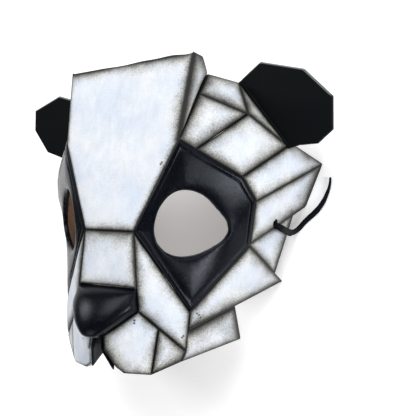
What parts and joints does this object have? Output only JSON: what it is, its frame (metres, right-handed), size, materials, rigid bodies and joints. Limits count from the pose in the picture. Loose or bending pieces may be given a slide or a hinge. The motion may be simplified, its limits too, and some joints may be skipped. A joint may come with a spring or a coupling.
{
  "type": "panda mask",
  "caption": "Faceted leather panda mask with flat round ears, drop-shaped eye holes and a tie lace, worn over the face and lying face up on its side rims.",
  "frame": {"origin": "on the table under the middle of the leather's box, lace not counted", "axes": "+X to the wearer's left across the ears, +Y from chin to forehead, +Z out of the face"},
  "size_m": [0.23, 0.1984, 0.1044],
  "materials": {
    "white_leather": "white painted vegetable-tanned leather with soft dark borders along the folds, satin",
    "black_leather": "black dyed leather with fine wrinkled grain, semi-gloss",
    "ear_leather": "black dyed flat leather, matt, with paler cut edges",
    "lace_leather": "black flat leather lace, satin"
  },
  "bodies": {
    "root": {"forehead": "white_leather", "bridge": "white_leather", "nose": "black_leather", "lip_tab_left": "black_leather", "lip_tab_right": "black_leather", "brow_strip_left": "white_leather", "temple_top_left": "white_leather", "temple_front_left": "white_leather", "temple_side_left": "white_leather", "ear_gusset_left": "white_leather", "side_upper_left": "white_leather", "side_middle_left": "white_leather", "lace_panel_left": "white_leather", "cheek_left": "white_leather", "jaw_left": "white_leather", "muzzle_left": "white_leather", "lip_front_left": "white_leather", "lip_side_left": "white_leather", "eye_patch_left": "black_leather", "ear_left": "ear_leather", "brow_strip_right": "white_leather", "temple_top_right": "white_leather", "temple_front_right": "white_leather", "temple_side_right": "white_leather", "ear_gusset_right": "white_leather", "side_upper_right": "white_leather", "side_middle_right": "white_leather", "lace_panel_right": "white_leather", "cheek_right": "white_leather", "jaw_right": "white_leather", "muzzle_right": "white_leather", "lip_front_right": "white_leather", "lip_side_right": "white_leather", "eye_patch_right": "black_leather", "ear_right": "ear_leather", "lace_loop": "lace_leather", "lace_tail": "lace_leather"}
  },
  "joints": []
}
